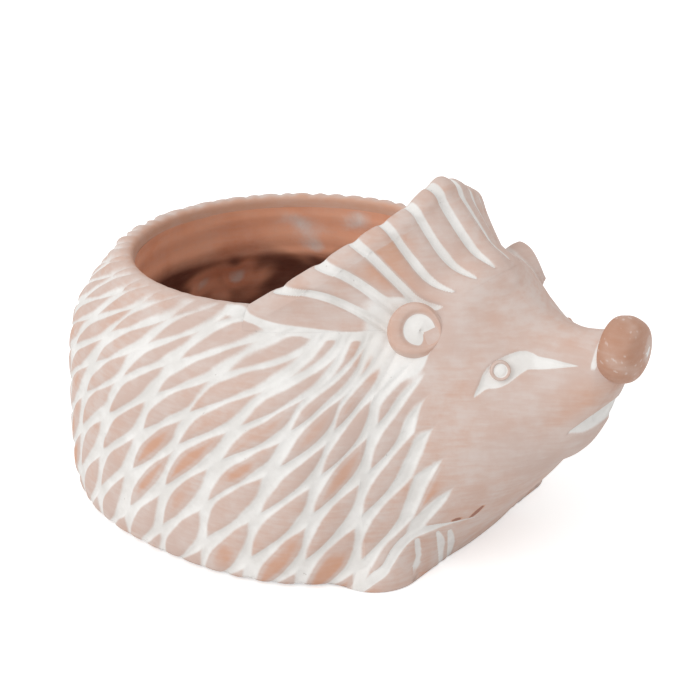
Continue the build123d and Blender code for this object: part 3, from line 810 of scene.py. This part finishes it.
def paw_grids(side):
    """Front paw: a bar with round ends across the front, flat on the table, carved with the lines that run
    on over it from the body. Rows run along the bar and columns round it."""
    s = np.linspace(-1.0, 1.0, PAW_ROWS)[:, None]
    turn = np.linspace(0.0, 2.0 * np.pi, PAW_COLUMNS + 1)[None, :-1]
    reach = 0.5 * PAW_SPAN + PAW_R
    along = reach * np.sin(0.5 * np.pi * s)
    past = np.maximum(np.abs(along) - 0.5 * PAW_SPAN, 0.0)
    r = np.sqrt(np.maximum(PAW_R ** 2 - past ** 2, 0.0))
    base = np.array(PAW) + np.stack([r * np.cos(turn), along + 0 * turn, r * np.sin(turn)], -1)
    quill, quill_slip = quill_carving(base)
    line = paw_lines(base)
    keep = 1.0 - (np.maximum(quill, 0.8 * line) + 0.25 + 0.2 * waver(base, 12.0)) / PAW_R
    skin = np.array(PAW) + (base - np.array(PAW)) * np.stack([keep, np.ones(keep.shape), keep], -1)
    skin[..., 2] = np.maximum(skin[..., 2], 0.0)
    rubbed = 0.7 * on_paw(base) * smooth(waver(base, 16.0) + 0.4)
    slip = np.maximum(quill_slip * (1.0 - on_paw(base)), line) - rubbed * (1.0 - line)
    return [(on_side(skin, side), grid_faces(PAW_ROWS, PAW_COLUMNS, wrap=True, flip=side > 0), slip)]


class Wire:
    """One output of a shader node. Arithmetic on it adds Math nodes, and node() adds any other node."""

    def __init__(self, tree, socket=None):
        self.tree = tree
        self.socket = socket

    def node(self, kind, settings=None, inputs=None, output=0):
        """A new node with its settings and inputs, as the wire from one of its outputs."""
        made = self.tree.nodes.new("ShaderNode" + kind)
        for key, value in (settings or {}).items():
            setattr(made, key, value)
        for key, value in (inputs or {}).items():
            if isinstance(value, Wire):
                self.tree.links.new(value.socket, made.inputs[key])
            else:
                made.inputs[key].default_value = value
        return Wire(self.tree, made.outputs[output] if made.outputs else None)

    def maths(self, operation, a, b):
        """The result of one operation on two wires or numbers."""
        return self.node("Math", {"operation": operation}, {0: a, 1: b})

    def __add__(self, other):
        return self.maths("ADD", self, other)

    def __sub__(self, other):
        return self.maths("SUBTRACT", self, other)

    def __mul__(self, other):
        return self.maths("MULTIPLY", self, other)

    def __radd__(self, other):
        return self.maths("ADD", other, self)

    def __rsub__(self, other):
        return self.maths("SUBTRACT", other, self)

    def __rmul__(self, other):
        return self.maths("MULTIPLY", other, self)

    def step(self, low, high):
        """Eased step from 0 at low to 1 at high."""
        return self.node("MapRange", {"interpolation_type": "SMOOTHSTEP"}, {0: self, 1: low, 2: high})

    def noise(self, place, scale, detail, rough=0.55):
        """Uneven grey, finer as the scale goes up."""
        inputs = {"Vector": place, "Scale": scale, "Detail": detail, "Roughness": rough}
        return self.node("TexNoise", None, inputs)

    def tint(self, factor, low, high):
        """Colour between two colours."""
        return self.node("Mix", {"data_type": "RGBA"}, {0: factor, 6: low, 7: high}, 2)


def paint(r, g, b):
    """Linear colour from a colour as it is seen on a screen, 0 to 255."""
    shown = np.array([r, g, b]) / 255.0
    linear = np.where(shown <= 0.04045, shown / 12.92, ((shown + 0.055) / 1.055) ** 2.4)
    return (*linear.tolist(), 1.0)


SLIP_DULL = paint(228, 225, 221)
SLIP_BRIGHT = paint(241, 239, 236)
IRON_SPECK = paint(124, 104, 95)
CHIP_DARK = paint(150, 106, 92)


def fired_clay(name, clay, warm, rubbed, chalk, wash, slip_share, matt=0.82):
    """Terracotta with a white slip: warm patches and a chalky wash over the clay, opaque slip where the
    carving keeps it, deeper colour where it is rubbed bare (on the pot's inside this bare colour is painted
    shade), dark where it is chipped, iron specks, brush streaks and a fine grain.
    streaks and a fine grain."""
    material = bpy.data.materials.new(name)
    material.use_nodes = True
    tree = material.node_tree
    tree.nodes.clear()
    wire = Wire(tree)
    place = wire.node("TexCoord", output=3)
    kept = wire.node("Attribute", {"attribute_name": "slip"}, output=2)
    cloud = wire.noise(place, 26.0, 4.0)
    patch = wire.noise(place, 85.0, 5.0, 0.6)
    brushed = {"Vector": place, "Rotation": (0.3, 0.9, 0.2), "Scale": (1.0, 1.0, 6.0)}
    streak_place = wire.node("Mapping", None, brushed)
    streak = wire.noise(streak_place, 110.0, 3.0)
    grain = wire.noise(place, 900.0, 4.0, 0.65)
    speck = wire.noise(place, 420.0, 2.0, 0.5)
    bare = (kept * -1.0 + (cloud - 0.5) * 0.5).step(0.05, 0.85)
    body = wire.tint(cloud.step(0.40, 0.66), clay, warm)
    body = wire.tint(bare, body, rubbed)
    chalky = (cloud * 0.3 + patch * 0.45 + streak * 0.25).step(0.40, 0.64) * wash * (1.0 - bare * 0.7)
    body = wire.tint(chalky, body, chalk)
    edge = kept + (patch - 0.5) * 0.35 + (grain - 0.5) * 0.2
    white = edge.step(0.16, 0.82) * slip_share
    slip_colour = wire.tint(patch.step(0.35, 0.70), SLIP_DULL, SLIP_BRIGHT)
    colour = wire.tint(white, body, slip_colour)
    dark = speck.step(0.72, 0.78) * (0.06 + white * 0.26)
    colour = wire.tint(dark, colour, IRON_SPECK)
    chip = (kept * -1.0).step(1.2, 1.7) * 0.85
    colour = wire.tint(chip, colour, CHIP_DARK)
    rough = matt - 0.10 * cloud + 0.06 * white
    height = grain * 0.35 + streak * 0.25 + patch * 0.4
    bump = wire.node("Bump", None, {"Height": height, "Strength": 0.18, "Distance": 0.0006})
    surface = {"Base Color": colour, "Roughness": rough, "Normal": bump, "Specular IOR Level": 0.25}
    shader = wire.node("BsdfPrincipled", None, surface)
    wire.node("OutputMaterial", None, {"Surface": shader})
    return material


def seen_rays(wire):
    """1 for what the camera sees, straight, in a shiny surface or through a clear one, and 0 otherwise."""
    kinds = ("Is Camera Ray", "Is Glossy Ray", "Is Transmission Ray")
    camera, shiny, clear = (wire.node("LightPath", output=kind) for kind in kinds)
    return camera + shiny + clear


def build_studio():
    """Pale floor and air that look white to the camera, soft lamps and even light all round."""
    scene = bpy.context.scene
    scene.view_settings.view_transform = "Standard"
    floor_mesh = bpy.data.meshes.new("studio_floor")
    floor_mesh.from_pydata([(-4, -4, 0), (4, -4, 0), (4, 4, 0), (-4, 4, 0)], [], [(0, 1, 2, 3)])
    floor = bpy.data.objects.new("studio_floor", floor_mesh)
    scene.collection.objects.link(floor)
    floor.location.z = -0.0003
    pale = bpy.data.materials.new("studio_pale")
    pale.use_nodes = True
    shader = pale.node_tree.nodes["Principled BSDF"]
    shader.inputs["Base Color"].default_value = (0.82, 0.82, 0.82, 1.0)
    shader.inputs["Roughness"].default_value = 0.9
    shader.inputs["Emission Strength"].default_value = FLOOR_GLOW
    floor_wire = Wire(pale.node_tree)
    white = floor_wire.tint(seen_rays(floor_wire), (0.0, 0.0, 0.0, 1.0), (1.0, 1.0, 1.0, 1.0))
    pale.node_tree.links.new(white.socket, shader.inputs["Emission Color"])
    floor_mesh.materials.append(pale)

    world = bpy.data.worlds.new("studio_air")
    world.use_nodes = True
    scene.world = world
    wire = Wire(world.node_tree)
    world.node_tree.nodes.clear()
    strength = AIR_LIGHT + seen_rays(wire) * (AIR_SEEN - AIR_LIGHT)
    air = wire.node("Background", None, {"Color": (1.0, 1.0, 1.0, 1.0), "Strength": strength})
    wire.node("OutputWorld", None, {"Surface": air})

    middle = Vector((0.0, 0.0, 0.06))
    for name, place, width, strength in LAMPS:
        lamp = bpy.data.lights.new(name, "SUN")
        lamp.angle = math.radians(width)
        lamp.energy = strength
        holder = bpy.data.objects.new(name, lamp)
        holder.location = place
        holder.rotation_mode = "QUATERNION"
        holder.rotation_quaternion = (middle - Vector(place)).to_track_quat("-Z", "Y")
        scene.collection.objects.link(holder)


def place_camera():
    """Camera at the photograph's place: 577 mm from the pot, 37 degrees round and 23 degrees up."""
    turn = math.radians(37.28)
    lift = math.radians(22.89)
    back = Vector((math.sin(turn) * math.cos(lift), -math.cos(turn) * math.cos(lift), math.sin(lift)))
    right = Vector((math.cos(turn), math.sin(turn), 0.0))
    up = back.cross(right)
    middle = Vector((-11.65, 0.0, 60.0))
    distance = 576.74
    aim = middle + right * 6.92 - up * 2.08
    lens = bpy.data.cameras.new("photo_camera")
    lens.sensor_width = 36.0
    lens.lens = 75.74
    lens.clip_start = 0.02
    camera = bpy.data.objects.new("photo_camera", lens)
    camera.location = (middle + back * distance) * MM
    camera.rotation_mode = "QUATERNION"
    camera.rotation_quaternion = (aim * MM - camera.location).to_track_quat("-Z", "Y")
    bpy.context.scene.collection.objects.link(camera)
    bpy.context.scene.camera = camera


washed_clay = fired_clay("washed_clay", clay=paint(208, 184, 173), warm=paint(209, 174, 157),
                         rubbed=paint(208, 161, 136), chalk=paint(217, 203, 196), wash=0.85, slip_share=1.0)
nose_clay = fired_clay("nose_clay", clay=paint(198, 166, 150), warm=paint(192, 152, 132),
                       rubbed=paint(184, 138, 114), chalk=paint(214, 194, 184), wash=0.7, slip_share=0.9,
                       matt=0.55)
# Inside of the pot: clay colours lighter than the bare clay, as painted light, and a dark bare colour that is
# painted shade low in the hollow.
inner_clay_painted_light_and_shade = fired_clay("inner_clay_painted_light_and_shade", clay=paint(243, 180, 147), warm=paint(232, 158, 122),
                        rubbed=paint(122, 76, 60), chalk=paint(230, 194, 176), wash=0.30, slip_share=0.85)
# Floor of the hollow: the same clay painted darker all over, as painted shade.
floor_clay_painted_shade = fired_clay("floor_clay_painted_shade", clay=paint(150, 98, 77), warm=paint(138, 86, 66),
                        rubbed=paint(120, 74, 58), chalk=paint(186, 146, 128), wash=0.40, slip_share=0.8)

WASHED = "washed_terracotta"
SIDES = (("right", -1), ("left", 1))
make_piece("pot_skin", wall_grids(), washed_clay, WASHED, "pot_wall")
make_piece("pot_inside", hollow_grids(), inner_clay_painted_light_and_shade, WASHED, "pot_wall")
make_piece("face", head_grids(), washed_clay, WASHED, "head", "lower_jaw")
make_piece("quill_fan", fan_grids(), washed_clay, WASHED, "quill_crest")
for name, side in SIDES:
    make_piece(name + "_ear_ring", ear_grids(side), washed_clay, WASHED, name + "_ear")
for name, side in SIDES:
    make_piece(name + "_eye_ring", eye_grids(side), washed_clay, WASHED, name + "_eye")
make_piece("nose_tip", nose_grids(), nose_clay, "bare_terracotta", "nose_pad")
for name, side in SIDES:
    make_piece(name + "_paw", paw_grids(side), washed_clay, WASHED, name + "_front_paw")
slab_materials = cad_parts["base_slab"].data.materials
slab_materials.clear()
slab_materials.append(floor_clay_painted_shade)

build_studio()
place_camera()
